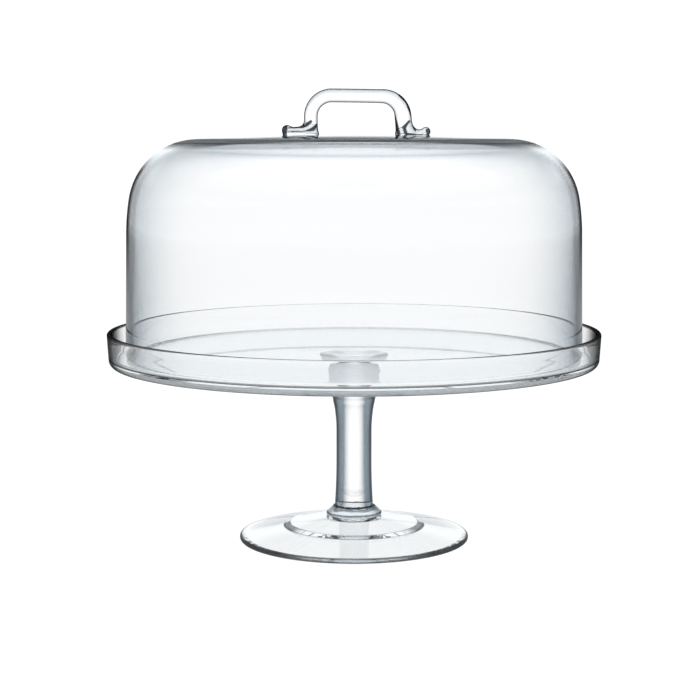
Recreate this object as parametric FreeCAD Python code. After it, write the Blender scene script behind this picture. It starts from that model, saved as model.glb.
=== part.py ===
import FreeCAD, Part
import math
import os

# A hand-made clear glass cake stand with a lift-off dome. Millimetres, +Z up. The stand's axis
# is the Z axis and z = 0 is the table that the foot stands on. The handle's arch lies in XZ.
#
# Two loose things stand together: the stand (foot, collar, stem and tray, joined hot) and the
# dome (shell and handle, joined hot), which stands on the tray's floor inside the tray's rim.

# Foot: a low cone with a soft step in its top, hollow underneath, that stands on a narrow ring.
FOOT_R = 71.7
FOOT_EDGE_H = 3.0
FOOT_EDGE_ROUND = 1.4
FOOT_TOP_Z = 15.4
FOOT_STEP_INNER_R = 40.5
FOOT_STEP_INNER_Z = 10.2
FOOT_STEP_OUTER_R = 44.0
FOOT_STEP_OUTER_Z = 8.4
FOOT_STEP_ROUND = 3.0
FOOT_PLATE_T = 4.2
FOOT_PLATE_ROUND = 20.0
FOOT_RING_R = 67.0
FOOT_RING_ROUND = 0.8

# Collar: a pressed button of glass between the foot and the stem.
COLLAR_BOTTOM_R = 17.3
COLLAR_TOP_R = 12.9
COLLAR_TOP_Z = 20.9
COLLAR_EDGE_H = 1.2
COLLAR_ROUND = 1.5

# Stem: a thick-walled tube with a closed, round lower end and a flared upper end.
STEM_BOTTOM_R = 12.0
STEM_WAIST_R = 11.0
STEM_WAIST_LOW_Z = 50.0
STEM_WAIST_HIGH_Z = 68.0
STEM_FLARE_ROUND = 95.0
STEM_BORE_R = 5.6
STEM_BORE_BOTTOM_Z = 26.5
STEM_BORE_STRAIGHT_Z = 76.0
STEM_BORE_FLARE_ROUND = 190.0

# Tray: a flat disc with an upright, slightly flared rim.
TRAY_BOTTOM_Z = 111.3
TRAY_FLOOR_T = 4.5
TRAY_RIM_Z = 131.5
TRAY_RIM_R = 152.5
TRAY_FOOT_R = 151.2
TRAY_WALL_T = 3.2
TRAY_OUTER_ROUND = 4.0
TRAY_INNER_ROUND = 3.0
TRAY_RIM_ROUND = 1.5
CAKE_SEAT_R = 134.0

# Dome shell: crown arc, shoulder arc, side arc and a straight wall that widens downwards.
# The angles are measured from the dome's axis to the normal of the outer surface.
DOME_TOP_Z = 252.2
DOME_WALL_T = 2.8
DOME_CROWN_ROUND = 1860.0
DOME_SHOULDER_ROUND = 43.5
DOME_SIDE_ROUND = 143.0
DOME_CROWN_END = math.radians(3.0)
DOME_SHOULDER_END = math.radians(80.6)
DOME_SIDE_END = math.radians(89.1)
DOME_INNER_SIDE_END = math.radians(90.0)
DOME_LIP_ROUND = 1.6

# Handle: a round rod bent to an arch, with both ends drawn outwards over the crown.
ROD_R = 4.2
BAR_Z_LEFT = 276.0
BAR_Z_RIGHT = 275.2
LEG_LEFT_X = -26.5
LEG_RIGHT_TOP_X = 28.8
LEG_RIGHT_FOOT_X = 31.2
BEND_ROUND = 12.6
PAD_LEFT_INNER_X = -20.8
PAD_LEFT_TIP_X = -44.3
PAD_RIGHT_INNER_X = 25.0
PAD_RIGHT_TIP_X = 47.0
PAD_SHANK_H = 5.3
PAD_LEFT_WAIST_H = 4.9
PAD_RIGHT_WAIST_H = 3.6
PAD_LEFT_TIP_H = 6.1
PAD_RIGHT_TIP_H = 5.0
PAD_TIP_LENGTH = 4.4
PAD_ROUND = 1.6

FLOOR_Z = TRAY_BOTTOM_Z + TRAY_FLOOR_T
Z_AXIS = FreeCAD.Vector(0, 0, 1)
X_AXIS = FreeCAD.Vector(1, 0, 0)


def point(x, z):
    return FreeCAD.Vector(x, 0, z)


def line(start, end):
    return Part.LineSegment(start, end).toShape()


def direction(angle):
    """Unit vector in XZ at an angle from +Z towards +X."""
    return point(math.sin(angle), math.cos(angle))


def arc(centre, radius, start, end):
    """Arc in XZ whose angles run from +Z towards +X."""
    angles = (start, (start + end) / 2, end)
    return Part.Arc(*(centre + direction(a) * radius for a in angles)).toShape()


def corner_arc(before, corner, after, radius):
    """The arc that rounds a corner, as its start, middle and end."""
    to_before = (before - corner).normalize()
    to_after = (after - corner).normalize()
    half = to_before.getAngle(to_after) / 2
    bisector = (to_before + to_after).normalize()
    reach = radius / math.tan(half)
    middle = corner + bisector * (radius / math.sin(half) - radius)
    return corner + to_before * reach, middle, corner + to_after * reach


def rounded_outline(corners):
    """A closed face in XZ from (x, z, rounding radius) corners."""
    points = [point(x, z) for x, z, _ in corners]
    edges = []
    ends = []
    for index, (_, _, radius) in enumerate(corners):
        here = points[index]
        if radius == 0:
            ends.append((here, here))
            continue
        after = points[(index + 1) % len(points)]
        start, middle, end = corner_arc(points[index - 1], here, after, radius)
        edges.append(Part.Arc(start, middle, end).toShape())
        ends.append((start, end))
    for index, (start, _) in enumerate(ends):
        previous_end = ends[index - 1][1]
        if previous_end.distanceToPoint(start) > 1e-6:
            edges.append(line(previous_end, start))
    return Part.Face(Part.Wire(Part.__sortEdges__(edges)))


def face_of(edges):
    return Part.Face(Part.Wire(Part.__sortEdges__(edges)))


def turned(face):
    return face.revolve(FreeCAD.Vector(), Z_AXIS, 360)


def foot():
    """A low cone on a narrow ring; the roof of the hollow underneath runs roughly along with it."""
    roof_z = FOOT_TOP_Z - FOOT_PLATE_T
    corners = [
        (0, roof_z, 0),
        (COLLAR_BOTTOM_R, roof_z, FOOT_PLATE_ROUND),
        (FOOT_RING_R, 0, FOOT_RING_ROUND),
        (FOOT_R, 0, FOOT_EDGE_ROUND),
        (FOOT_R, FOOT_EDGE_H, FOOT_EDGE_ROUND),
        (FOOT_STEP_OUTER_R, FOOT_STEP_OUTER_Z, FOOT_STEP_ROUND),
        (FOOT_STEP_INNER_R, FOOT_STEP_INNER_Z, FOOT_STEP_ROUND),
        (COLLAR_BOTTOM_R, FOOT_TOP_Z, 0),
        (0, FOOT_TOP_Z, 0),
    ]
    return turned(rounded_outline(corners))


def stem_collar():
    corners = [
        (0, FOOT_TOP_Z, 0),
        (COLLAR_BOTTOM_R, FOOT_TOP_Z, 0),
        (COLLAR_BOTTOM_R, FOOT_TOP_Z + COLLAR_EDGE_H, COLLAR_EDGE_H / 2),
        (COLLAR_TOP_R, COLLAR_TOP_Z, COLLAR_ROUND),
        (0, COLLAR_TOP_Z, 0),
    ]
    return turned(rounded_outline(corners))


def flare(radius, start_r, start_z, end_z):
    """The concave arc that leaves a vertical line at (start_r, start_z) and widens to end_z."""
    centre = point(start_r + radius, start_z)
    end = math.asin((end_z - start_z) / radius) - math.pi / 2
    return arc(centre, radius, -math.pi / 2, end)


def stem():
    outer_flare = flare(STEM_FLARE_ROUND, STEM_WAIST_R, STEM_WAIST_HIGH_Z, TRAY_BOTTOM_Z)
    bore_flare = flare(STEM_BORE_FLARE_ROUND, STEM_BORE_R, STEM_BORE_STRAIGHT_Z, TRAY_BOTTOM_Z)
    foot_drop = STEM_WAIST_LOW_Z - COLLAR_TOP_Z
    foot_spread = STEM_BOTTOM_R - STEM_WAIST_R
    foot_round = (foot_drop**2 + foot_spread**2) / (2 * foot_spread)
    foot_centre = point(STEM_WAIST_R + foot_round, STEM_WAIST_LOW_Z)
    foot_angle = -math.pi / 2 - math.asin(foot_drop / foot_round)
    bore_end = point(0, STEM_BORE_BOTTOM_Z + STEM_BORE_R)
    top_outer = outer_flare.Vertexes[-1].Point
    top_inner = bore_flare.Vertexes[-1].Point
    edges = [
        line(point(0, COLLAR_TOP_Z), point(STEM_BOTTOM_R, COLLAR_TOP_Z)),
        arc(foot_centre, foot_round, foot_angle, -math.pi / 2),
        line(point(STEM_WAIST_R, STEM_WAIST_LOW_Z), point(STEM_WAIST_R, STEM_WAIST_HIGH_Z)),
        outer_flare,
        line(top_outer, top_inner),
        bore_flare,
        line(point(STEM_BORE_R, STEM_BORE_STRAIGHT_Z), point(STEM_BORE_R, bore_end.z)),
        arc(bore_end, STEM_BORE_R, math.pi / 2, math.pi),
        line(point(0, STEM_BORE_BOTTOM_Z), point(0, COLLAR_TOP_Z)),
    ]
    return turned(face_of(edges))


def tray():
    # The cake's seat is a face of its own inside the ring that the dome stands on.
    corners = [
        (0, TRAY_BOTTOM_Z, 0),
        (TRAY_FOOT_R, TRAY_BOTTOM_Z, TRAY_OUTER_ROUND),
        (TRAY_RIM_R, TRAY_RIM_Z, TRAY_RIM_ROUND),
        (TRAY_RIM_R - TRAY_WALL_T, TRAY_RIM_Z, TRAY_RIM_ROUND),
        (TRAY_FOOT_R - TRAY_WALL_T, FLOOR_Z, TRAY_INNER_ROUND),
        (CAKE_SEAT_R, FLOOR_Z, 0),
        (0, FLOOR_Z, 0),
    ]
    return turned(rounded_outline(corners))


def dome_outline(inset, side_end):
    """The dome's profile from the axis to the floor, this far inside its outer surface.

    The wall below the shoulder runs on straight at the angle where its side arc ends.
    """
    crown_centre = point(0, DOME_TOP_Z - DOME_CROWN_ROUND)
    shoulder_centre = crown_centre + direction(DOME_CROWN_END) * (DOME_CROWN_ROUND - DOME_SHOULDER_ROUND)
    side_centre = shoulder_centre - direction(DOME_SHOULDER_END) * (DOME_SIDE_ROUND - DOME_SHOULDER_ROUND)
    wall_top = side_centre + direction(side_end) * (DOME_SIDE_ROUND - inset)
    wall_spread = (wall_top.z - FLOOR_Z) / math.tan(side_end)
    arcs = [
        arc(crown_centre, DOME_CROWN_ROUND - inset, 0, DOME_CROWN_END),
        arc(shoulder_centre, DOME_SHOULDER_ROUND - inset, DOME_CROWN_END, DOME_SHOULDER_END),
        arc(side_centre, DOME_SIDE_ROUND - inset, DOME_SHOULDER_END, side_end),
    ]
    return arcs, wall_top, point(wall_top.x + wall_spread, FLOOR_Z)


def dome_shell():
    outer_arcs, outer_top, outer_foot = dome_outline(0, DOME_SIDE_END)
    inner_arcs, inner_top, inner_foot = dome_outline(DOME_WALL_T, DOME_INNER_SIDE_END)
    outer_lip = corner_arc(outer_top, outer_foot, inner_foot, DOME_LIP_ROUND)
    inner_lip = corner_arc(outer_foot, inner_foot, inner_top, DOME_LIP_ROUND)
    edges = outer_arcs + inner_arcs
    edges += [
        line(outer_top, outer_lip[0]),
        Part.Arc(*outer_lip).toShape(),
        line(outer_lip[2], inner_lip[0]),
        Part.Arc(*inner_lip).toShape(),
        line(inner_lip[2], inner_top),
        line(point(0, DOME_TOP_Z - DOME_WALL_T), point(0, DOME_TOP_Z)),
    ]
    return turned(face_of(edges))


def dome_block():
    """The dome as if it were solid, for trimming the handle to the crown."""
    arcs, wall_top, wall_foot = dome_outline(0, DOME_SIDE_END)
    edges = arcs + [
        line(wall_top, wall_foot),
        line(wall_foot, point(0, FLOOR_Z)),
        line(point(0, FLOOR_Z), point(0, DOME_TOP_Z)),
    ]
    return turned(face_of(edges))


def handle_rod():
    """The bent rod, whose legs run down into the crown."""
    buried_z = DOME_TOP_Z - DOME_WALL_T
    left_foot = point(LEG_LEFT_X, buried_z)
    left_corner = point(LEG_LEFT_X, BAR_Z_LEFT)
    right_corner = point(LEG_RIGHT_TOP_X, BAR_Z_RIGHT)
    right_foot = point(LEG_RIGHT_FOOT_X, buried_z)
    left_bend = corner_arc(left_foot, left_corner, right_corner, BEND_ROUND)
    right_bend = corner_arc(left_corner, right_corner, right_foot, BEND_ROUND)
    path = Part.Wire([
        line(left_foot, left_bend[0]),
        Part.Arc(*left_bend).toShape(),
        line(left_bend[2], right_bend[0]),
        Part.Arc(*right_bend).toShape(),
        line(right_bend[2], right_foot),
    ])
    section = Part.Wire(Part.makeCircle(ROD_R, left_foot, Z_AXIS))
    return path.makePipeShell([section], True, True)


def handle_pad(inner_x, tip_x, waist_h, tip_h):
    """One drawn-out end: half-round on the crown, thinner in the middle, curled up at its tip."""
    outward = math.copysign(1, tip_x)
    shank_x = inner_x + outward * PAD_SHANK_H / 2
    waist_x = tip_x - outward * PAD_TIP_LENGTH * 1.4
    swell_x = tip_x - outward * PAD_TIP_LENGTH * 0.7
    corners = [
        (inner_x, 0, 0),
        (shank_x, PAD_SHANK_H, PAD_ROUND),
        (waist_x, waist_h, PAD_ROUND),
        (swell_x, tip_h, PAD_ROUND / 2),
        (tip_x, tip_h * 0.8, PAD_ROUND),
        (tip_x, 0, 0),
    ]
    return rounded_outline(corners).revolve(FreeCAD.Vector(), X_AXIS, 360)


def dome_handle():
    left = handle_pad(PAD_LEFT_INNER_X, PAD_LEFT_TIP_X, PAD_LEFT_WAIST_H, PAD_LEFT_TIP_H)
    right = handle_pad(PAD_RIGHT_INNER_X, PAD_RIGHT_TIP_X, PAD_RIGHT_WAIST_H, PAD_RIGHT_TIP_H)
    for pad in (left, right):
        pad.translate(FreeCAD.Vector(0, 0, DOME_TOP_Z))
    whole = handle_rod().fuse([left, right])
    return whole.cut(dome_block()).removeSplitter()


NODES = {
    "foot": foot,
    "stem_collar": stem_collar,
    "stem": stem,
    "tray": tray,
    "dome_shell": dome_shell,
    "dome_handle": dome_handle,
}

os.makedirs("parts", exist_ok=True)
for name, build in NODES.items():
    shape = build()
    box = shape.optimalBoundingBox()
    print(
        f"{name}: valid {shape.isValid()}, solids {len(shape.Solids)}, {shape.Volume / 1000:.1f} cm3,"
        f" x {box.XMin:.1f} to {box.XMax:.1f}, y {box.YMin:.1f} to {box.YMax:.1f},"
        f" z {box.ZMin:.1f} to {box.ZMax:.1f}"
    )
    shape.exportStep(f"parts/{name}.step")
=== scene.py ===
import math
from typing import NamedTuple

import bmesh
import bpy
import numpy as np
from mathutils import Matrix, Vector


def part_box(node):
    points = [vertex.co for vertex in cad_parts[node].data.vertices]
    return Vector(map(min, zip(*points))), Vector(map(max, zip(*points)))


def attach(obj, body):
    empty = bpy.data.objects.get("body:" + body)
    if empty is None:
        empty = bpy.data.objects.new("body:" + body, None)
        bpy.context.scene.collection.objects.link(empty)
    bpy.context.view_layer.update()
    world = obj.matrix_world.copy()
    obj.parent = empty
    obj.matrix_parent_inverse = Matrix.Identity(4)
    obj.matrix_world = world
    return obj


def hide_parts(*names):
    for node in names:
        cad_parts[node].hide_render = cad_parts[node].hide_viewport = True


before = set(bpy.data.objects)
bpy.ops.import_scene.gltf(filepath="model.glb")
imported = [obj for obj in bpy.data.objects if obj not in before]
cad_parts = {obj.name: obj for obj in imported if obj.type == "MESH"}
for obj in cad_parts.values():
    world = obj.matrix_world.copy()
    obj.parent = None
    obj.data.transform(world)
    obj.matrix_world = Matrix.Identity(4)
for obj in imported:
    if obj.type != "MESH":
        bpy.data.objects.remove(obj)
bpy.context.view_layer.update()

# A clear glass cake stand and its lift-off dome, rebuilt as fine smooth meshes around the CAD frame.
# Metres. The stand's axis is the Z axis, and the handle's arch lies in XZ. In a run of points, r is the
# distance from the axis and z the height.

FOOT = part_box("foot")
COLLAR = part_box("stem_collar")
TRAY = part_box("tray")
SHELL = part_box("dome_shell")

# How fine the meshes are.
TURNS = 480  # faces round the foot and the tray
STEM_TURNS = 240
DOME_TURNS = 320
STEP = 0.0012  # spacing of the points along a curved outline
DOME_STEP = 0.0018
STRAIGHT_STEP = 0.004
SHORTEST = 1e-7  # stretches shorter than this are left out
TOUCH = 1e-6  # surfaces nearer than this touch

# Material indexes of a piece's faces.
OWN = 0
SEAM = 1  # faces where two pieces are fused
BORE = 2  # faces inside the stem's bore
INSIDE = 1  # faces inside the dome

# Foot.
FOOT_R = FOOT[1][0]
FOOT_TOP_Z = FOOT[1][2]
FOOT_EDGE_H = 0.0030
FOOT_EDGE_ROUND = 0.0014
FOOT_STEP_INNER_R = 0.0405
FOOT_STEP_INNER_Z = 0.0102
FOOT_STEP_OUTER_R = 0.0440
FOOT_STEP_OUTER_Z = 0.0084
FOOT_STEP_ROUND = 0.003
FOOT_PLATE_T = 0.0042
FOOT_PLATE_ROUND = 0.020
FOOT_RING_R = 0.067
FOOT_RING_ROUND = 0.0008
FOOT_RIPPLE = 0.00005

# Collar.
COLLAR_R = COLLAR[1][0]
COLLAR_TOP_R = 0.0129
COLLAR_TOP_Z = COLLAR[1][2]
COLLAR_EDGE_H = 0.0012
COLLAR_ROUND = 0.0015
COLLAR_RIPPLE = 0.0003
COLLAR_LIFT = 0.00015  # how far the collar's shoulder rises and falls round its edge

# Stem.
STEM_BOTTOM_R = 0.0120
STEM_BOTTOM_ROUND = 0.0006
STEM_FUSED_R = 0.0106
STEM_WAIST_R = 0.0110
STEM_WAIST_LOW_Z = 0.050
STEM_WAIST_HIGH_Z = 0.068
STEM_FLARE_ROUND = 0.095
STEM_BORE_R = 0.0056
STEM_BORE_BOTTOM_Z = 0.0265
STEM_BORE_STRAIGHT_Z = 0.076
STEM_BORE_FLARE_ROUND = 0.190
STEM_RIPPLE = 0.00008
STEM_RINGS = [(0.0865, 0.0018, 0.00012), (0.0905, 0.0012, 0.00008)]  # (height, half width, bulge)
STEM_GROOVE_H = 0.0003  # mean height of the groove over the collar
STEM_GROOVE_WAVE = 0.00016

# Tray.
TRAY_BOTTOM_Z = TRAY[0][2]
TRAY_RIM_Z = TRAY[1][2]
TRAY_RIM_R = 0.1525
TRAY_FOOT_R = 0.1512
TRAY_FLOOR_T = 0.0045
TRAY_WALL_T = 0.0032
TRAY_OUTER_ROUND = 0.0040
TRAY_INNER_ROUND = 0.003
TRAY_RIM_ROUND = 0.0015
TRAY_RIPPLE = 0.00015
TRAY_OUTER_SHARE = 0.4  # the outside of the wall is smoother than the inside
TRAY_WALL_START_R = 0.143
TRAY_RIM_START_Z = 0.124
TRAY_RIM_WAVE = 0.0002

# Dome shell.
DOME_TOP_Z = SHELL[1][2]
DOME_LIP_Z = SHELL[0][2]
DOME_WALL_T = 0.0028
DOME_CROWN_ROUND = 1.860
DOME_SHOULDER_ROUND = 0.0435
DOME_SIDE_ROUND = 0.143
DOME_CROWN_END = math.radians(3.0)
DOME_SHOULDER_END = math.radians(80.6)
DOME_SIDE_END = math.radians(89.1)
DOME_INNER_SIDE_END = math.radians(90.0)
DOME_LIP_ROUND = 0.00197
DOME_RIPPLE = 0.00025
DOME_RIPPLE_START_R = 0.085

# Handle: the rod's path and the two ends drawn out over the crown.
ROD_R = 0.0042
ROD_SINK = 0.001  # how far the legs start below the crown
ROD_STEP = 0.0003
FOOT_SWELL = 0.0008  # how much thicker each leg is where it meets the crown
FOOT_SWELL_H = 0.0020
RIGHT_SWELL = 0.0010  # how much thicker the rod's right end is
RIGHT_SWELL_START_X = 0.012
RIGHT_SWELL_REACH = 0.018
LEG_LEFT_X = -0.0265
LEG_RIGHT_TOP_X = 0.0288
LEG_RIGHT_FOOT_X = 0.0312
BAR_Z_LEFT = 0.2760
BAR_Z_RIGHT = 0.2752
BEND_ROUND = 0.0126
PAD_BALLS = 160
# Spots along each drawn-out end: (x, height above the crown, radius).
LEFT_PAD = [
    (-0.0290, 0.0010, 0.0043), (-0.0330, 0.0008, 0.0042), (-0.0370, 0.0006, 0.0041),
    (-0.0398, 0.0012, 0.0041), (-0.0412, 0.0030, 0.0031),
]
RIGHT_PAD = [
    (0.0330, 0.0008, 0.0042), (0.0365, 0.0001, 0.0036), (0.0400, -0.0002, 0.0034),
    (0.0430, 0.0010, 0.0031), (0.0441, 0.0022, 0.0028),
]
BLEND = 0.0040  # width of the fillet between the rod and its ends
HANDLE_VOXEL = 0.0006
HANDLE_REACH = (0.06, 0.015)  # half size of the crown's stretch that the handle may touch


# ---------------------------------------------------------------- outlines

def unit(angle):
    """Unit vector in (r, z) at an angle from +Z outwards."""
    return np.array([math.sin(angle), math.cos(angle)])


def arc_points(centre, radius, start, end, step=STEP):
    count = max(6, math.ceil(abs(end - start) * radius / step))
    return [centre + unit(a) * radius for a in np.linspace(start, end, count)]


def corner_points(before, corner, after, radius):
    """The points of the arc that rounds a corner."""
    to_before = (before - corner) / np.linalg.norm(before - corner)
    to_after = (after - corner) / np.linalg.norm(after - corner)
    half = math.acos(np.clip(to_before @ to_after, -1, 1)) / 2
    bisector = (to_before + to_after) / np.linalg.norm(to_before + to_after)
    centre = corner + bisector * radius / math.sin(half)
    reach = radius / math.tan(half)
    start = corner + to_before * reach - centre
    end = corner + to_after * reach - centre
    turn = math.atan2(start[0] * end[1] - start[1] * end[0], start @ end)
    count = max(8, math.ceil(abs(turn) * radius / (STEP / 3)))
    angles = np.linspace(0, turn, count)
    return [
        centre + np.array([
            start[0] * math.cos(a) - start[1] * math.sin(a),
            start[0] * math.sin(a) + start[1] * math.cos(a),
        ])
        for a in angles
    ]


def rounded(corners):
    """An open run of (r, z, rounding radius) corners as points."""
    points = [np.array(c[:2], dtype=float) for c in corners]
    run = [points[0]]
    for index in range(1, len(points) - 1):
        radius = corners[index][2]
        if radius == 0:
            run.append(points[index])
        else:
            run += corner_points(points[index - 1], points[index], points[index + 1], radius)
    return run + [points[-1]]


def divided(points, step=STRAIGHT_STEP):
    """The same run with its long straight stretches divided."""
    run = [points[0]]
    for start, end in zip(points, points[1:]):
        length = np.linalg.norm(end - start)
        if length < SHORTEST:
            continue
        parts = max(1, math.ceil(length / step - 0.01))
        run += [start + (end - start) * k / parts for k in range(1, parts + 1)]
    return run


# ---------------------------------------------------------------- meshes

def add_object(name, mesh, slot_materials, body, node):
    obj = bpy.data.objects.new(name, mesh)
    bpy.context.scene.collection.objects.link(obj)
    for material in slot_materials:
        mesh.materials.append(material)
    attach(obj, body)
    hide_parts(node)
    return obj


def lathe(name, points, wobble, index_at, turns=TURNS):
    """Turn a run of points that starts and ends on the axis into a closed, smooth mesh.

    wobble: gives how far the surface is moved outwards and upwards at (r, z, angle).
    index_at: gives the material index of the faces at (r, z).
    """
    rings = np.array(points[1:-1])
    angles = np.linspace(0, 2 * math.pi, turns, endpoint=False)
    r = np.repeat(rings[:, 0][:, None], turns, axis=1)
    z = np.repeat(rings[:, 1][:, None], turns, axis=1)
    a = np.repeat(angles[None, :], len(rings), axis=0)
    dr, dz = wobble(r, z, a)
    r, z = r + dr, z + dz
    verts = np.stack([r * np.cos(a), r * np.sin(a), z], axis=-1).reshape(-1, 3)
    first, last = len(verts), len(verts) + 1
    poles = [(0, 0, points[0][1]), (0, 0, points[-1][1])]
    faces = []
    indexes = []
    for i in range(len(rings) - 1):
        middle = (rings[i] + rings[i + 1]) / 2
        index = index_at(middle[0], middle[1])
        for j in range(turns):
            k = (j + 1) % turns
            faces.append((i * turns + j, i * turns + k, (i + 1) * turns + k, (i + 1) * turns + j))
            indexes.append(index)
    top = (len(rings) - 1) * turns
    first_index = index_at(rings[0][0] / 2, points[0][1])
    last_index = index_at(rings[-1][0] / 2, points[-1][1])
    for j in range(turns):
        k = (j + 1) % turns
        faces += [(first, k, j), (last, top + j, top + k)]
        indexes += [first_index, last_index]
    mesh = bpy.data.meshes.new(name)
    mesh.from_pydata([tuple(v) for v in verts] + poles, [], faces)
    mesh.polygons.foreach_set("material_index", indexes)
    mesh.polygons.foreach_set("use_smooth", [True] * len(faces))
    mesh.update()
    return mesh


def vertex_spots(mesh):
    """The places of a mesh's vertices, one row each."""
    spots = np.empty(len(mesh.vertices) * 3)
    mesh.vertices.foreach_get("co", spots)
    return spots.reshape(-1, 3)


def store_values(mesh, name, values):
    """Keep one value per vertex in the mesh, for its material to read."""
    mesh.attributes.new(name, "FLOAT", "POINT").data.foreach_set("value", values)


def rise(distance, length):
    """0 up to a line, then rising to 1 over a length."""
    return np.clip(distance / length, 0, 1)


def ripple(a, z, size, seed):
    """Slow waves round and along a hand-made wall, at most about the given size."""
    waves = (
        np.sin(2 * a + 1.3 * seed + 9 * z)
        + 0.6 * np.sin(3 * a - 2.1 * seed + 23 * z)
        + 0.35 * np.sin(5 * a + 0.7 * seed - 41 * z)
    )
    return size * waves / 1.95


# ---------------------------------------------------------------- parts of materials

# Colours of the glass. The first is the glass's own tint face on, and the second is also the foot's and the
# collar's own tint face on. Everywhere else these colours are painted shade at the glass's edges and painted
# reflection inside it. They stand in for the dark surroundings that the glass shows.
CLEAR = (0.990, 0.995, 0.997)
PALE_TINT_AND_PAINTED_SHADE = (0.93, 0.945, 0.952)
PALE = (0.85, 0.88, 0.90)
PAINTED_PALE_REFLECTION = (0.80, 0.84, 0.86)
PAINTED_BLUE_GREY = (0.59, 0.675, 0.735)
GREY = (0.30, 0.34, 0.37)
BLUE = (0.068, 0.102, 0.134)
SLATE = (0.05, 0.065, 0.078)
# Painted shade: the darkest colour, mixed over the glass in the Dark stretches.
PAINTED_DARK = (0.006, 0.018, 0.034)
SHADE = (0.93, 0.945, 0.955)  # what the glass leaves of the light that falls through it
GRAIN_SCALE = 900.0  # grains to the metre in the uneven edges of the bands


def node(tree, kind, **values):
    made = tree.nodes.new(kind)
    for key, value in values.items():
        setattr(made, key, value)
    return made


def empty_tree(owner):
    """The node tree of a material or a world, with nothing in it."""
    owner.use_nodes = True
    owner.node_tree.nodes.clear()
    return owner.node_tree


def see_through(tree, colour=(1, 1, 1)):
    clear = node(tree, "ShaderNodeBsdfTransparent")
    clear.inputs["Color"].default_value = (*colour, 1)
    return clear.outputs[0]


def mixed(tree, share, first, second):
    """Two surfaces mixed; share, a socket or a number, is how much of the second shows."""
    mix = node(tree, "ShaderNodeMixShader")
    if isinstance(share, float):
        mix.inputs[0].default_value = share
    else:
        tree.links.new(share, mix.inputs[0])
    tree.links.new(first, mix.inputs[1])
    tree.links.new(second, mix.inputs[2])
    return mix.outputs[0]


def height_or_radius(tree, name, unevenness):
    """The height or the distance from the axis, made uneven by up to about the given length."""
    where = node(tree, "ShaderNodeTexCoord")
    split = node(tree, "ShaderNodeSeparateXYZ")
    tree.links.new(where.outputs["Object"], split.inputs[0])
    spot = split.outputs["Z"]
    if name == "radius":
        flat = node(tree, "ShaderNodeCombineXYZ")
        tree.links.new(split.outputs["X"], flat.inputs["X"])
        tree.links.new(split.outputs["Y"], flat.inputs["Y"])
        reach = node(tree, "ShaderNodeVectorMath", operation="LENGTH")
        tree.links.new(flat.outputs[0], reach.inputs[0])
        spot = reach.outputs["Value"]
    if unevenness:
        grain = node(tree, "ShaderNodeTexNoise")
        grain.inputs["Scale"].default_value = GRAIN_SCALE
        tree.links.new(where.outputs["Object"], grain.inputs["Vector"])
        shift = node(tree, "ShaderNodeMath", operation="MULTIPLY_ADD")
        shift.inputs[1].default_value = unevenness
        tree.links.new(grain.outputs[0], shift.inputs[0])
        tree.links.new(spot, shift.inputs[2])
        spot = shift.outputs[0]
    return spot


def measure(tree, name, unevenness=0):
    """What a band is measured by.

    "height" and "radius" are lengths. "facing" is 0 face on and 1 along the surface, and "leaving" is 1
    where the ray leaves the glass. Any other name is a value stored in the mesh.
    """
    if name in ("height", "radius"):
        return height_or_radius(tree, name, unevenness)
    if name == "facing":
        layer = node(tree, "ShaderNodeLayerWeight")
        layer.inputs["Blend"].default_value = 0.5
        return layer.outputs["Facing"]
    if name == "leaving":
        return node(tree, "ShaderNodeNewGeometry").outputs["Backfacing"]
    return node(tree, "ShaderNodeAttribute", attribute_name=name).outputs["Fac"]


def step_up(tree, value, start, full):
    """0 at the start, 1 when full, smooth between; the start may be the larger value."""
    ramp = node(tree, "ShaderNodeMapRange", interpolation_type="SMOOTHSTEP")
    ramp.inputs["From Min"].default_value = start
    ramp.inputs["From Max"].default_value = full
    tree.links.new(value, ramp.inputs["Value"])
    return ramp.outputs["Result"]


def within(tree, value, bands, unevenness=0):
    """The value, kept only where every band is full.

    A band is (measure, where it starts, where it is full).
    """
    for name, start, full in bands:
        kept = node(tree, "ShaderNodeMath", operation="MULTIPLY")
        share = step_up(tree, measure(tree, name, unevenness), start, full)
        tree.links.new(share, kept.inputs[0])
        if isinstance(value, float):
            kept.inputs[1].default_value = value
        else:
            tree.links.new(value, kept.inputs[1])
        value = kept.outputs[0]
    return value


class Dark(NamedTuple):
    """A stretch of glass painted dark: painted shade where the glass has no light behind it."""
    strength: float
    bands: list
    unevenness: float = 0


def glass_colour(tree, clear, edge, depth, depth_bands):
    """Clear face on, painted shade along the surface towards the edges, a painted reflection tint for what is
    mirrored inside.
    """
    # Painted shade: darker towards the edges, where the surface is seen along.
    along = node(tree, "ShaderNodeMix", data_type="RGBA")
    along.inputs[6].default_value = (*clear, 1)
    along.inputs[7].default_value = (*edge[2], 1)
    tree.links.new(step_up(tree, measure(tree, "facing"), edge[0], edge[1]), along.inputs[0])

    # Painted reflection: rays that meet the glass's inner side after a mirroring take the depth tint.
    inside = node(tree, "ShaderNodeMath", operation="SUBTRACT", use_clamp=True)
    tree.links.new(measure(tree, "leaving"), inside.inputs[0])
    path = node(tree, "ShaderNodeLightPath")
    tree.links.new(path.outputs["Is Transmission Ray"], inside.inputs[1])
    colour = node(tree, "ShaderNodeMix", data_type="RGBA")
    colour.inputs[7].default_value = (*depth, 1)
    tree.links.new(along.outputs[2], colour.inputs[6])
    tree.links.new(within(tree, inside.outputs[0], depth_bands), colour.inputs[0])
    return colour.outputs[2]


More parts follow.
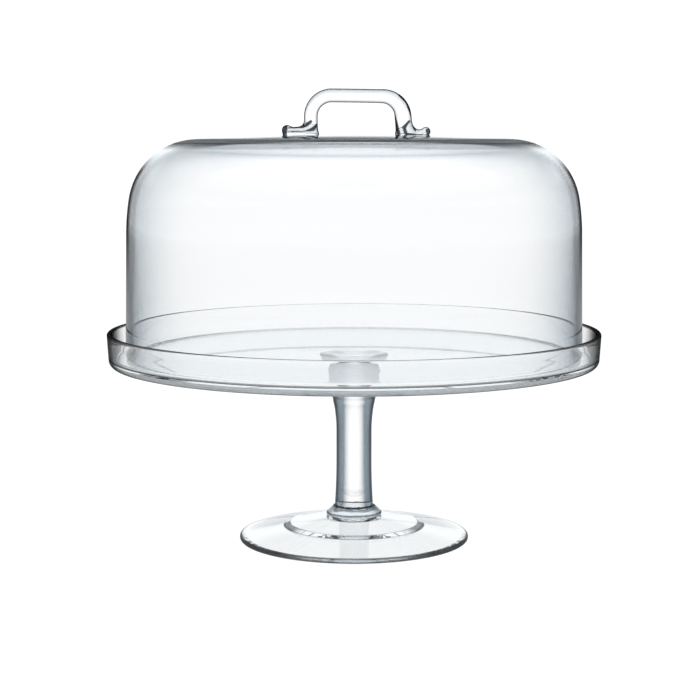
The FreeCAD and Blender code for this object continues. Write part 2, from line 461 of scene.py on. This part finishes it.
def faint_waves(tree, across, height):
    place = node(tree, "ShaderNodeTexCoord")
    stretch = node(tree, "ShaderNodeMapping")
    stretch.inputs["Scale"].default_value = across
    tree.links.new(place.outputs["Object"], stretch.inputs["Vector"])
    waves = node(tree, "ShaderNodeTexNoise")
    waves.inputs["Scale"].default_value = 1.0
    waves.inputs["Detail"].default_value = 2.0
    tree.links.new(stretch.outputs["Vector"], waves.inputs["Vector"])
    bump = node(tree, "ShaderNodeBump")
    bump.inputs["Strength"].default_value = 1.0
    bump.inputs["Distance"].default_value = height
    tree.links.new(waves.outputs[0], bump.inputs["Height"])
    return bump.outputs["Normal"]


def glass_material(
    name, *, clear, edge, depth, waves, wave_height, dark=(), depth_bands=(), fused_where=None, share=1.0
):
    """Clear glass with painted shade at its edges and in its Dark stretches, and with faint waves in its
    surface.

    clear: tint face on.
    edge: (facing where the painted shade starts, facing where it is full, its colour).
    depth: painted reflection, the tint of what is mirrored inside the glass, kept to depth_bands.
    waves: how many waves there are to the metre, along each axis.
    dark: the Dark stretches, painted shade mixed over the glass.
    fused_where: a value stored in the mesh, below 0 where another piece is fused on and there is no surface.
    share: how much of all this shows.
    """
    material = bpy.data.materials.new(name)
    tree = empty_tree(material)
    glass = node(tree, "ShaderNodeBsdfPrincipled")
    glass.inputs["Transmission Weight"].default_value = 1.0
    glass.inputs["Roughness"].default_value = 0.0
    glass.inputs["IOR"].default_value = 1.5
    tree.links.new(glass_colour(tree, clear, edge, depth, depth_bands), glass.inputs["Base Color"])
    tree.links.new(faint_waves(tree, waves, wave_height), glass.inputs["Normal"])
    surface = glass.outputs[0]
    # Painted shade: each Dark stretch mixes a dark see-through surface over the glass.
    for stretch in dark:
        amount = within(tree, stretch.strength, stretch.bands, stretch.unevenness)
        surface = mixed(tree, amount, surface, see_through(tree, PAINTED_DARK))
    path = node(tree, "ShaderNodeLightPath")
    surface = mixed(tree, path.outputs["Is Shadow Ray"], surface, see_through(tree, SHADE))
    if fused_where:
        below = node(tree, "ShaderNodeMath", operation="LESS_THAN")
        below.inputs[1].default_value = 0.0
        tree.links.new(measure(tree, fused_where), below.inputs[0])
        surface = mixed(tree, below.outputs[0], surface, see_through(tree))
    if share < 1:
        surface = mixed(tree, share, see_through(tree), surface)
    out = node(tree, "ShaderNodeOutputMaterial")
    tree.links.new(surface, out.inputs["Surface"])
    return material


# ---------------------------------------------------------------- materials
#
# Every piece is clear, slightly blue glass, seen in front of white with dark surroundings. The Dark stretches
# are painted shade: dark patches painted on the glass where the glass bends the view round to those
# surroundings. The edge tints and depth tints are painted shade and painted reflection of the same kind.

def joint_material():
    """Where two pieces are fused there is no surface to see."""
    material = bpy.data.materials.new("fused_joint")
    tree = empty_tree(material)
    out = node(tree, "ShaderNodeOutputMaterial")
    tree.links.new(see_through(tree), out.inputs["Surface"])
    return material


def foot_material():
    # Painted shade: dark bands at the outer edge and round the step, where the glass shows the dark
    # surroundings. The grey edge tint is painted shade and the depth tint is painted reflection.
    outer_edge = [("radius", 0.0698, 0.0710), ("facing", 0.01, 0.18)]
    step_ends = [
        ("radius", 0.0398, 0.0410), ("radius", 0.0452, 0.0440), ("height", 0.0070, 0.0078),
        ("facing", 0.50, 0.64), ("facing", 0.90, 0.80), ("leaving", 1, 0),
    ]
    step_line = [
        ("radius", 0.0430, 0.0436), ("radius", 0.0446, 0.0440), ("height", 0.0070, 0.0078),
        ("leaving", 1, 0),
    ]
    return glass_material(
        "foot_glass", clear=PALE_TINT_AND_PAINTED_SHADE, edge=(0.90, 1.0, GREY), depth=PALE_TINT_AND_PAINTED_SHADE, waves=(35, 35, 35), wave_height=0.00001,
        dark=[Dark(0.74, outer_edge), Dark(0.70, step_ends, 0.0010), Dark(0.30, step_line)],
    )


def collar_material():
    # Painted shade: a dark band in the crease under the stem and a dark line over the foot. The slate edge
    # tint is painted shade and the depth tint is painted reflection.
    seam_under_stem = [("height", COLLAR_TOP_Z - 0.0006, COLLAR_TOP_Z - 0.0001)]
    line_over_foot = [
        ("height", FOOT_TOP_Z + 0.0012, FOOT_TOP_Z + 0.0016),
        ("height", FOOT_TOP_Z + 0.0026, FOOT_TOP_Z + 0.0020),
    ]
    return glass_material(
        "collar_glass", clear=PALE_TINT_AND_PAINTED_SHADE, edge=(0.24, 0.66, SLATE), depth=PAINTED_BLUE_GREY, waves=(260, 260, 260),
        wave_height=0.00008, dark=[Dark(0.8, seam_under_stem), Dark(0.7, line_over_foot, 0.0008)],
    )


def stem_material():
    # Painted shade: a dark ragged band over the collar and a dark outline at the sides. The blue edge tint is
    # painted shade and the depth tint is painted reflection.
    seam_over_collar = [("height", COLLAR_TOP_Z + 0.0012, COLLAR_TOP_Z + 0.0004)]
    outline = [("facing", 0.42, 0.60)]
    return glass_material(
        "stem_glass", clear=CLEAR, edge=(0.010, 0.22, BLUE), depth=PAINTED_BLUE_GREY, waves=(180, 180, 30),
        wave_height=0.00003, dark=[Dark(0.95, seam_over_collar, 0.0008), Dark(0.6, outline)],
    )


def bore_material():
    """The stem's bore hardly shows in the thick glass round it."""
    # The edge tint is painted shade.
    return glass_material(
        "bore_glass", clear=CLEAR, edge=(0.20, 1.0, PALE_TINT_AND_PAINTED_SHADE), depth=CLEAR, waves=(180, 180, 30),
        wave_height=0.00003, share=0.2,
    )


def tray_material():
    # Painted shade: a dark rim, dark outlines at the wall and dark lines along the floor and the bottom. The
    # edge tint is painted shade and the depth tint is painted reflection.
    rim = [("height", TRAY_RIM_Z - 0.0016, TRAY_RIM_Z - 0.0008), ("facing", 0.45, 0.80)]
    wall_outline = [("radius", 0.1465, 0.1490), ("facing", 0.66, 0.88)]
    floor_line = [
        ("radius", 0.1494, 0.1500), ("height", TRAY_BOTTOM_Z + 0.0047, TRAY_BOTTOM_Z + 0.0052),
        ("height", TRAY_BOTTOM_Z + 0.0065, TRAY_BOTTOM_Z + 0.0059), ("leaving", 1, 0),
    ]
    bottom_line = [
        ("radius", 0.1470, 0.1480), ("height", TRAY_BOTTOM_Z + 0.0041, TRAY_BOTTOM_Z + 0.0036),
        ("leaving", 1, 0),
    ]
    return glass_material(
        "tray_glass", clear=CLEAR, edge=(0.90, 1.0, PAINTED_BLUE_GREY), depth=PAINTED_PALE_REFLECTION, waves=(30, 30, 120),
        wave_height=0.00003, dark=[
            Dark(0.9, rim), Dark(0.85, wall_outline), Dark(0.60, floor_line, 0.0003), Dark(0.40, bottom_line),
        ],
    )


def dome_material(name, crown_darks, fused_where=None):
    # Painted shade: a dark band down the dome's sides. The slate depth tint is a painted dark reflection on
    # the shoulder, and the edge tint is painted shade.
    sides = [
        ("height", 0.140, 0.200), ("height", 0.243, 0.228), ("radius", 0.110, 0.130), ("facing", 0.76, 0.90),
    ]
    return glass_material(
        name, clear=CLEAR, edge=(0.30, 1.0, PAINTED_BLUE_GREY), depth=SLATE, waves=(14, 14, 9), wave_height=0.00004,
        dark=[Dark(0.95, sides)] + crown_darks, depth_bands=[("height", 0.236, 0.220)],
        fused_where=fused_where,
    )


def dome_outside_material():
    # Painted shade: dark bands round the shoulder and the crown, a soft grey edge and a thin dark line.
    shoulder = [
        ("height", 0.2425, 0.2470), ("height", 0.2500, 0.2494),
        ("facing", 0.69, 0.72), ("facing", 0.975, 0.945), ("leaving", 1, 0),
    ]
    crown = [
        ("height", 0.2494, 0.2500), ("facing", 0.90, 0.93), ("facing", 0.975, 0.945), ("leaving", 1, 0),
    ]
    soft_edge = [
        ("height", 0.2438, 0.2448), ("height", 0.2484, 0.2474),
        ("facing", 0.50, 0.56), ("facing", 0.73, 0.69), ("leaving", 1, 0),
    ]
    thin_line = [
        ("height", 0.2469, 0.2471), ("height", 0.2476, 0.2474), ("facing", 0.58, 0.62), ("leaving", 1, 0),
    ]
    crown_darks = [
        Dark(0.82, shoulder, 0.0006), Dark(0.82, crown, 0.0006),
        Dark(0.30, soft_edge, 0.0012), Dark(0.45, thin_line, 0.0007),
    ]
    return dome_material("dome_glass", crown_darks, "under_handle")


def dome_inside_material():
    return dome_material("dome_inside_glass", [])


def handle_material():
    # Painted shade: dark sides low on the legs and painted dark streaks in the curls. The grey edge tint is
    # painted shade and the pale depth tint is painted reflection.
    legs = [("height", DOME_TOP_Z - 0.010, DOME_TOP_Z), ("facing", 0.34, 0.62)]
    curls = [("painted_streaks", 0.0, 1.0), ("leaving", 1, 0)]
    return glass_material(
        "handle_glass", clear=CLEAR, edge=(0.05, 0.50, GREY), depth=PALE, waves=(120, 120, 120),
        wave_height=0.00004, dark=[Dark(0.85, legs), Dark(0.93, curls)],
    )


joint = joint_material()


# ---------------------------------------------------------------- stand

def make_foot():
    roof_z = FOOT_TOP_Z - FOOT_PLATE_T
    run = rounded([
        (0, roof_z, 0),
        (COLLAR_R, roof_z, FOOT_PLATE_ROUND),
        (FOOT_RING_R, 0, FOOT_RING_ROUND),
        (FOOT_R, 0, FOOT_EDGE_ROUND),
        (FOOT_R, FOOT_EDGE_H, FOOT_EDGE_ROUND),
        (FOOT_STEP_OUTER_R, FOOT_STEP_OUTER_Z, FOOT_STEP_ROUND),
        (FOOT_STEP_INNER_R, FOOT_STEP_INNER_Z, FOOT_STEP_ROUND),
        (COLLAR_R, FOOT_TOP_Z, 0),
        (0, FOOT_TOP_Z, 0),
    ])

    def wobble(r, z, a):
        free = rise(r - COLLAR_R, 0.02) * rise(z, 0.003)
        return 0 * r, free * ripple(a, 8 * r, FOOT_RIPPLE, seed=3)

    def index_at(r, z):
        return SEAM if r < COLLAR_R and z > FOOT_TOP_Z - TOUCH else OWN

    mesh = lathe("foot", divided(run), wobble, index_at)
    return add_object("foot_glass_body", mesh, [foot_material(), joint], "stand", "foot")


def make_collar():
    run = rounded([
        (0, FOOT_TOP_Z, 0),
        (COLLAR_R, FOOT_TOP_Z, 0),
        (COLLAR_R, FOOT_TOP_Z + COLLAR_EDGE_H, COLLAR_EDGE_H / 2),
        (COLLAR_TOP_R, COLLAR_TOP_Z, COLLAR_ROUND),
        (STEM_FUSED_R, COLLAR_TOP_Z, 0),
        (0, COLLAR_TOP_Z, 0),
    ])

    def wobble(r, z, a):
        free = rise(z - FOOT_TOP_Z, 0.002) * rise(r - STEM_BOTTOM_R, 0.002)
        return free * ripple(a, z, COLLAR_RIPPLE, seed=5), free * COLLAR_LIFT * np.sin(7 * a + 1)

    def index_at(r, z):
        on_foot = z < FOOT_TOP_Z + TOUCH
        under_stem = r < STEM_FUSED_R and z > COLLAR_TOP_Z - TOUCH
        return SEAM if on_foot or under_stem else OWN

    mesh = lathe("stem_collar", divided(run, STEP), wobble, index_at, STEM_TURNS)
    return add_object("collar_glass_body", mesh, [collar_material(), joint], "stand", "stem_collar")


def flare_points(radius, start_r, start_z, end_z):
    """A wall that leaves the vertical at its start and flares outwards up to a height."""
    centre = np.array([start_r + radius, start_z])
    end = math.asin((end_z - start_z) / radius) - math.pi / 2
    return arc_points(centre, radius, -math.pi / 2, end)


def stem_flare():
    return flare_points(STEM_FLARE_ROUND, STEM_WAIST_R, STEM_WAIST_HIGH_Z, TRAY_BOTTOM_Z)


def bore_flare():
    return flare_points(STEM_BORE_FLARE_ROUND, STEM_BORE_R, STEM_BORE_STRAIGHT_Z, TRAY_BOTTOM_Z)


def groove(a):
    """The uneven lower edge of the stem, where it was pressed hot onto the collar."""
    waves = np.sin(13 * a + 0.4) + 0.7 * np.sin(29 * a + 2.0) + 0.5 * np.sin(47 * a)
    return STEM_GROOVE_H + STEM_GROOVE_WAVE * waves


def make_stem():
    spread = STEM_BOTTOM_R - STEM_WAIST_R
    drop = STEM_WAIST_LOW_Z - COLLAR_TOP_Z
    round_low = (drop**2 + spread**2) / (2 * spread)
    low_centre = np.array([STEM_WAIST_R + round_low, STEM_WAIST_LOW_Z])
    low_angle = -math.pi / 2 - math.asin(drop / round_low)
    foot_arc = arc_points(low_centre, round_low, low_angle, -math.pi / 2)
    collar_centre = np.array([0, COLLAR_TOP_Z])
    edge = corner_points(collar_centre, foot_arc[0], foot_arc[1], STEM_BOTTOM_ROUND)
    outer = stem_flare()
    bore = bore_flare()
    bottom = np.array([0, STEM_BORE_BOTTOM_Z + STEM_BORE_R])
    run = [collar_centre, np.array([STEM_FUSED_R, COLLAR_TOP_Z])]
    run += edge + foot_arc[1:] + outer + bore[::-1]
    run += arc_points(bottom, STEM_BORE_R, math.pi / 2, math.pi, STEP / 2)

    def wobble(r, z, a):
        low = (1 - rise(z - COLLAR_TOP_Z, 0.0025)) * rise(r - STEM_FUSED_R, 0.0008)
        free = rise(z - COLLAR_TOP_Z, 0.004) * rise(TRAY_BOTTOM_Z - z, 0.004)
        rings = sum(bulge * np.exp(-((z - height) / half) ** 2) for height, half, bulge in STEM_RINGS)
        return free * (ripple(a, z, STEM_RIPPLE, seed=7) + rings), low * groove(a)

    def index_at(r, z):
        under_tray = z > TRAY_BOTTOM_Z - TOUCH
        on_collar = z < COLLAR_TOP_Z + TOUCH and r < STEM_FUSED_R
        if under_tray or on_collar:
            return SEAM
        outer_r = np.interp(z, [p[1] for p in outer], [p[0] for p in outer])
        bore_r = np.interp(z, [p[1] for p in bore], [p[0] for p in bore])
        return BORE if r < (outer_r + bore_r) / 2 else OWN

    mesh = lathe("stem", divided(run, STEP), wobble, index_at, STEM_TURNS)
    return add_object("stem_glass_body", mesh, [stem_material(), joint, bore_material()], "stand", "stem")


def make_tray():
    floor_z = TRAY_BOTTOM_Z + TRAY_FLOOR_T
    bore_r = bore_flare()[-1][0]
    stem_r = stem_flare()[-1][0]
    run = rounded([
        (0, TRAY_BOTTOM_Z, 0),
        (bore_r, TRAY_BOTTOM_Z, 0),
        (stem_r, TRAY_BOTTOM_Z, 0),
        (TRAY_FOOT_R, TRAY_BOTTOM_Z, TRAY_OUTER_ROUND),
        (TRAY_RIM_R, TRAY_RIM_Z, TRAY_RIM_ROUND),
        (TRAY_RIM_R - TRAY_WALL_T, TRAY_RIM_Z, TRAY_RIM_ROUND),
        (TRAY_FOOT_R - TRAY_WALL_T, floor_z, TRAY_INNER_ROUND),
        (0, floor_z, 0),
    ])

    def wobble(r, z, a):
        wall = rise(r - TRAY_WALL_START_R, 0.006)
        side = np.where(r < TRAY_RIM_R - TRAY_WALL_T / 2, 1.0, TRAY_OUTER_SHARE)
        rim = rise(z - TRAY_RIM_START_Z, 0.006) * np.sin(2 * a + 0.5) * TRAY_RIM_WAVE
        return wall * side * ripple(a, z, TRAY_RIPPLE, seed=11), wall * rim

    def index_at(r, z):
        return SEAM if z < TRAY_BOTTOM_Z + TOUCH and bore_r < r < stem_r else OWN

    mesh = lathe("tray", divided(run), wobble, index_at)
    return add_object("tray_glass_body", mesh, [tray_material(), joint], "stand", "tray")


# ---------------------------------------------------------------- dome

def dome_points(inset, side_end):
    """The dome's profile from the axis down to the lip, this far inside its outer surface."""
    crown = np.array([0, DOME_TOP_Z - DOME_CROWN_ROUND])
    shoulder = crown + unit(DOME_CROWN_END) * (DOME_CROWN_ROUND - DOME_SHOULDER_ROUND)
    side = shoulder - unit(DOME_SHOULDER_END) * (DOME_SIDE_ROUND - DOME_SHOULDER_ROUND)
    wall = side + unit(side_end) * (DOME_SIDE_ROUND - inset)
    foot = np.array([wall[0] + (wall[1] - DOME_LIP_Z) / math.tan(side_end), DOME_LIP_Z])
    run = arc_points(crown, DOME_CROWN_ROUND - inset, 0, DOME_CROWN_END, DOME_STEP)
    run += arc_points(shoulder, DOME_SHOULDER_ROUND - inset, DOME_CROWN_END, DOME_SHOULDER_END, DOME_STEP)[1:]
    run += arc_points(side, DOME_SIDE_ROUND - inset, DOME_SHOULDER_END, side_end, DOME_STEP)[1:]
    return run, foot


def crown_drop(r):
    """How far the crown has fallen at this distance from the axis."""
    return DOME_CROWN_ROUND - np.sqrt(DOME_CROWN_ROUND**2 - r**2)


def distance_to_handle(spots):
    """How far each of the dome's spots is from the handle; only those of the outer crown are measured."""
    distance = np.full(len(spots), 0.01)
    near = (np.abs(spots[:, 0]) < HANDLE_REACH[0]) & (np.abs(spots[:, 1]) < HANDLE_REACH[1])
    near &= spots[:, 2] > DOME_TOP_Z - DOME_WALL_T / 2
    flat = spots[near].copy()
    flat[:, 2] = DOME_TOP_Z
    distance[near] = handle_distance(flat)
    return distance


def make_shell():
    outer, outer_foot = dome_points(0, DOME_SIDE_END)
    inner, inner_foot = dome_points(DOME_WALL_T, DOME_INNER_SIDE_END)
    outer_lip = corner_points(outer[-1], outer_foot, inner_foot, DOME_LIP_ROUND)
    inner_lip = corner_points(outer_foot, inner_foot, inner[-1], DOME_LIP_ROUND)
    run = inner + inner_lip[::-1] + outer_lip[::-1] + outer[::-1]
    edge_r = np.array([p[0] for p in outer + [outer_foot]])
    edge_z = np.array([p[1] for p in outer + [outer_foot]])

    def wobble(r, z, a):
        wall = rise(r - DOME_RIPPLE_START_R, 0.03) * rise(z - DOME_LIP_Z, 0.02)
        return wall * ripple(a, z, DOME_RIPPLE, seed=2), 0 * r

    def index_at(r, z):
        depth = min(np.interp(-z, -edge_z, edge_r) - r, np.interp(r, edge_r, edge_z) - z)
        return INSIDE if depth > DOME_WALL_T / 2 else OWN

    mesh = lathe("dome_shell", divided(run), wobble, index_at, DOME_TURNS)
    store_values(mesh, "under_handle", distance_to_handle(vertex_spots(mesh)))
    materials = [dome_outside_material(), dome_inside_material()]
    return add_object("dome_shell_glass_body", mesh, materials, "dome", "dome_shell")


# ---------------------------------------------------------------- handle

def rod_balls():
    """Centres and radii along the bent rod, with each leg swelling where it meets the crown."""
    base = DOME_TOP_Z - ROD_SINK
    corners = [
        np.array([LEG_LEFT_X, base]),
        np.array([LEG_LEFT_X, BAR_Z_LEFT]),
        np.array([LEG_RIGHT_TOP_X, BAR_Z_RIGHT]),
        np.array([LEG_RIGHT_FOOT_X, base]),
    ]
    run = [corners[0]]
    run += corner_points(corners[0], corners[1], corners[2], BEND_ROUND)
    run += corner_points(corners[1], corners[2], corners[3], BEND_ROUND)
    run = np.array(divided(run + [corners[3]], ROD_STEP))
    height = run[:, 1] - DOME_TOP_Z
    right_swell = RIGHT_SWELL * rise(run[:, 0] - RIGHT_SWELL_START_X, RIGHT_SWELL_REACH) ** 2
    foot_swell = FOOT_SWELL * np.exp(-np.maximum(height, 0) / FOOT_SWELL_H)
    return run, ROD_R + right_swell + foot_swell


def pad_balls(spine):
    """Centres and radii along one drawn-out end."""
    spots = np.array(spine)
    t = np.linspace(0, len(spots) - 1, PAD_BALLS)
    x, height, radius = (np.interp(t, range(len(spots)), spots[:, k]) for k in range(3))
    return np.stack([x, height + DOME_TOP_Z], axis=1), radius


def ball_distance(spots, centres, radii):
    """Distance from spots to a chain of balls whose centres lie in XZ."""
    best = np.full(len(spots), 1.0)
    batch = 4000
    for start in range(0, len(spots), batch):
        part = spots[start:start + batch]
        dx = part[:, 0][:, None] - centres[:, 0][None, :]
        dz = part[:, 2][:, None] - centres[:, 1][None, :]
        dy = part[:, 1][:, None]
        best[start:start + batch] = (np.sqrt(dx**2 + dy**2 + dz**2) - radii[None, :]).min(axis=1)
    return best


def soft_min(first, second):
    """The nearer of two distances, with a smooth fillet where they meet."""
    mix = np.clip(0.5 + 0.5 * (second - first) / BLEND, 0, 1)
    return second * (1 - mix) + first * mix - BLEND * mix * (1 - mix)


def handle_distance(spots):
    """Distance to the handle's surface, in a space where the crown is flat."""
    rod = ball_distance(spots, *rod_balls())
    left = ball_distance(spots, *pad_balls(LEFT_PAD))
    right = ball_distance(spots, *pad_balls(RIGHT_PAD))
    return soft_min(soft_min(rod, left), right)


# Painted dark streaks, painted shade, in the curls where the ends leave the rod: (x, height above the crown,
# half width) spots.
PAINTED_STREAKS = [
    [(-0.0423, 0.0042, 0.0015), (-0.0426, 0.0003, 0.0014)],
    [
        (-0.0400, 0.0038, 0.0003), (-0.0317, 0.0042, 0.0005), (-0.0290, 0.0057, 0.0010),
        (-0.0264, 0.0077, 0.0008),
    ],
    [
        (-0.0400, 0.0018, 0.0003), (-0.0300, 0.0018, 0.0003), (-0.0250, 0.0031, 0.0011),
        (-0.0227, 0.0059, 0.0006),
    ],
    [(0.0275, 0.0236, 0.0005), (0.0324, 0.0192, 0.0009), (0.0356, 0.0105, 0.0008)],
    [(0.0248, 0.0110, 0.0005), (0.0259, 0.0057, 0.0009), (0.0276, -0.0010, 0.0008)],
    [
        (0.0336, 0.0079, 0.0006), (0.0304, 0.0040, 0.0010), (0.0319, -0.0002, 0.0008),
        (0.0440, -0.0006, 0.0004),
    ],
    [(0.0451, 0.0022, 0.0012), (0.0456, -0.0004, 0.0010)],
]
STREAK_SPOTS = 60


def painted_streak_amount(spots):
    """1 in the middle of a painted dark streak, 0 away from it."""
    amount = np.zeros(len(spots))
    for streak in PAINTED_STREAKS:
        ends = np.array(streak)
        t = np.linspace(0, len(ends) - 1, STREAK_SPOTS)
        x, height, half = (np.interp(t, range(len(ends)), ends[:, k]) for k in range(3))
        dx = spots[:, 0][:, None] - x[None, :]
        dz = spots[:, 2][:, None] - DOME_TOP_Z - height[None, :]
        near = (np.hypot(dx, dz) / half[None, :]).min(axis=1)
        amount = np.maximum(amount, rise(1.5 - near, 0.7))
    return amount


def ball_mesh(centres, radii):
    """Rough balls along a chain, to start the surface from."""
    every = 6
    build = bmesh.new()
    for (x, z), radius in zip(centres[::every], radii[::every]):
        made = bmesh.ops.create_icosphere(build, subdivisions=2, radius=radius)
        bmesh.ops.translate(build, verts=made["verts"], vec=(x, 0, z))
    mesh = bpy.data.meshes.new("start")
    build.to_mesh(mesh)
    build.free()
    return mesh


def remeshed(parts, voxel):
    """One even skin round several rough closed meshes."""
    build = bmesh.new()
    for part in parts:
        build.from_mesh(part)
        bpy.data.meshes.remove(part)
    mesh = bpy.data.meshes.new("skin")
    build.to_mesh(mesh)
    build.free()
    obj = bpy.data.objects.new("skin", mesh)
    bpy.context.scene.collection.objects.link(obj)
    change = obj.modifiers.new("skin", "REMESH")
    change.mode = "VOXEL"
    change.voxel_size = voxel
    graph = bpy.context.evaluated_depsgraph_get()
    skin = bpy.data.meshes.new_from_object(obj.evaluated_get(graph), depsgraph=graph)
    bpy.data.objects.remove(obj)
    bpy.data.meshes.remove(mesh)
    return skin


def on_surface(spots):
    """Spots moved onto the handle's smooth surface."""
    small = 2e-5
    for _ in range(4):
        value = handle_distance(spots)
        slope = np.stack([
            (handle_distance(spots + small * step) - value) / small for step in np.eye(3)
        ], axis=1)
        size = np.maximum((slope**2).sum(axis=1), 0.2)
        spots = spots - (value / size)[:, None] * slope
    return spots


def handle_skin():
    """The handle's closed skin, over a flat crown and reaching a little way into it."""
    chains = [rod_balls(), pad_balls(LEFT_PAD), pad_balls(RIGHT_PAD)]
    skin = remeshed([ball_mesh(*chain) for chain in chains], HANDLE_VOXEL)
    skin.vertices.foreach_set("co", on_surface(vertex_spots(skin)).ravel())
    return skin


def cut_at_crown(build):
    """Cut off and close what reaches into the crown, and bend the rest to the crown's curve."""
    cut = bmesh.ops.bisect_plane(
        build, geom=build.verts[:] + build.edges[:] + build.faces[:], dist=1e-6,
        plane_co=(0, 0, DOME_TOP_Z), plane_no=(0, 0, 1), clear_inner=True,
    )
    rim = [e for e in cut["geom_cut"] if isinstance(e, bmesh.types.BMEdge)]
    caps = bmesh.ops.holes_fill(build, edges=rim)["faces"]
    for face in build.faces:
        face.smooth = True
    for face in caps:
        face.material_index = SEAM
        face.smooth = False
    for vert in build.verts:
        vert.co.z -= float(crown_drop(math.hypot(vert.co.x, vert.co.y)))
    bmesh.ops.recalc_face_normals(build, faces=build.faces[:])


def make_handle():
    skin = handle_skin()
    build = bmesh.new()
    build.from_mesh(skin)
    bpy.data.meshes.remove(skin)
    cut_at_crown(build)
    mesh = bpy.data.meshes.new("dome_handle")
    build.to_mesh(mesh)
    build.free()
    # Painted shade: how strongly each vertex takes the painted dark streaks.
    store_values(mesh, "painted_streaks", painted_streak_amount(vertex_spots(mesh)))
    return add_object("dome_handle_glass_body", mesh, [handle_material(), joint], "dome", "dome_handle")


make_foot()
make_collar()
make_stem()
make_tray()
make_shell()
make_handle()


# ---------------------------------------------------------------- floor, light and camera

BACKDROP = (1.10, 1.10, 1.10, 1)
COOL = (1, 1.03, 1.05)
FLOOR_HALF = 6.0
FLOOR_DROP = 0.0002
FLOOR_GLOW = 0.85
# What the glass mirrors: (distance out over the floor, brightness) and (height of the direction, brightness).
MIRRORED_FLOOR = [(0.25, 0.90), (0.6, 0.40), (2.0, 0.40), (5.0, 0.9)]
MIRRORED_ROOM = [(0.30, 1.05), (0.42, 0.70), (0.75, 0.70), (0.90, 1.05)]


def greys(tree, value, stops, reach):
    """A cool grey that changes with a value along the given stops."""
    ramp = node(tree, "ShaderNodeValToRGB")
    share = node(tree, "ShaderNodeMath", operation="DIVIDE")
    share.inputs[1].default_value = reach
    tree.links.new(value, share.inputs[0])
    tree.links.new(share.outputs[0], ramp.inputs["Fac"])
    made = ramp.color_ramp.elements
    for _ in range(len(stops) - 2):
        made.new(0.5)
    for stop, (spot, grey) in zip(made, stops):
        stop.position = spot / reach
        stop.color = (*(grey * channel for channel in COOL), 1)
    return ramp.outputs["Color"]


def unless_mirrored(tree, mirrored_colour):
    """White where it is seen directly or through glass, another colour where the glass mirrors it."""
    path = node(tree, "ShaderNodeLightPath")
    mirrored = node(tree, "ShaderNodeMath", operation="GREATER_THAN")
    mirrored.inputs[1].default_value = 0.5
    tree.links.new(path.outputs["Glossy Depth"], mirrored.inputs[0])
    colour = node(tree, "ShaderNodeMix", data_type="RGBA")
    colour.inputs[6].default_value = BACKDROP
    tree.links.new(mirrored_colour, colour.inputs[7])
    tree.links.new(mirrored.outputs[0], colour.inputs[0])
    return colour.outputs[2]


def floor_material():
    material = bpy.data.materials.new("pale_floor")
    tree = empty_tree(material)
    matt = node(tree, "ShaderNodeBsdfDiffuse")
    matt.inputs["Color"].default_value = (0.9, 0.9, 0.9, 1)
    place = node(tree, "ShaderNodeTexCoord")
    away = node(tree, "ShaderNodeVectorMath", operation="LENGTH")
    tree.links.new(place.outputs["Object"], away.inputs[0])
    seen = greys(tree, away.outputs["Value"], MIRRORED_FLOOR, FLOOR_HALF)
    glow = node(tree, "ShaderNodeEmission")
    tree.links.new(unless_mirrored(tree, seen), glow.inputs["Color"])
    out = node(tree, "ShaderNodeOutputMaterial")
    tree.links.new(mixed(tree, FLOOR_GLOW, matt.outputs[0], glow.outputs[0]), out.inputs["Surface"])
    return material


def make_floor():
    half = FLOOR_HALF
    mesh = bpy.data.meshes.new("floor")
    corners = [(-half, -half, 0), (half, -half, 0), (half, half, 0), (-half, half, 0)]
    mesh.from_pydata(corners, [], [(0, 1, 2, 3)])
    mesh.materials.append(floor_material())
    obj = bpy.data.objects.new("floor", mesh)
    obj.location.z = -FLOOR_DROP
    bpy.context.scene.collection.objects.link(obj)


def make_light():
    """A white tent. What the glass mirrors is white low down, a dim room higher up and a softbox overhead."""
    world = bpy.data.worlds.new("studio")
    bpy.context.scene.world = world
    tree = empty_tree(world)
    place = node(tree, "ShaderNodeTexCoord")
    split = node(tree, "ShaderNodeSeparateXYZ")
    tree.links.new(place.outputs["Generated"], split.inputs[0])
    room = greys(tree, split.outputs["Z"], MIRRORED_ROOM, 1.0)
    back = node(tree, "ShaderNodeBackground")
    tree.links.new(unless_mirrored(tree, room), back.inputs["Color"])
    out = node(tree, "ShaderNodeOutputWorld")
    tree.links.new(back.outputs[0], out.inputs["Surface"])


CAMERA_PLACE = (-0.0025, -1.1017, 0.2528)
CAMERA_PITCH = 0.121
CAMERA_LENS = 91.7
CAMERA_SENSOR = 36
GLASS_BOUNCES = 40
MIRROR_BOUNCES = 24


def make_camera():
    data = bpy.data.cameras.new("camera")
    data.lens = CAMERA_LENS
    data.sensor_width = CAMERA_SENSOR
    obj = bpy.data.objects.new("camera", data)
    obj.location = CAMERA_PLACE
    obj.rotation_euler = (math.pi / 2 - CAMERA_PITCH, 0, 0)
    bpy.context.scene.collection.objects.link(obj)
    bpy.context.scene.camera = obj


make_floor()
make_light()
make_camera()

scene = bpy.context.scene
scene.view_settings.view_transform = "Standard"
scene.cycles.max_bounces = GLASS_BOUNCES
scene.cycles.transmission_bounces = GLASS_BOUNCES
scene.cycles.glossy_bounces = MIRROR_BOUNCES
scene.cycles.transparent_max_bounces = GLASS_BOUNCES
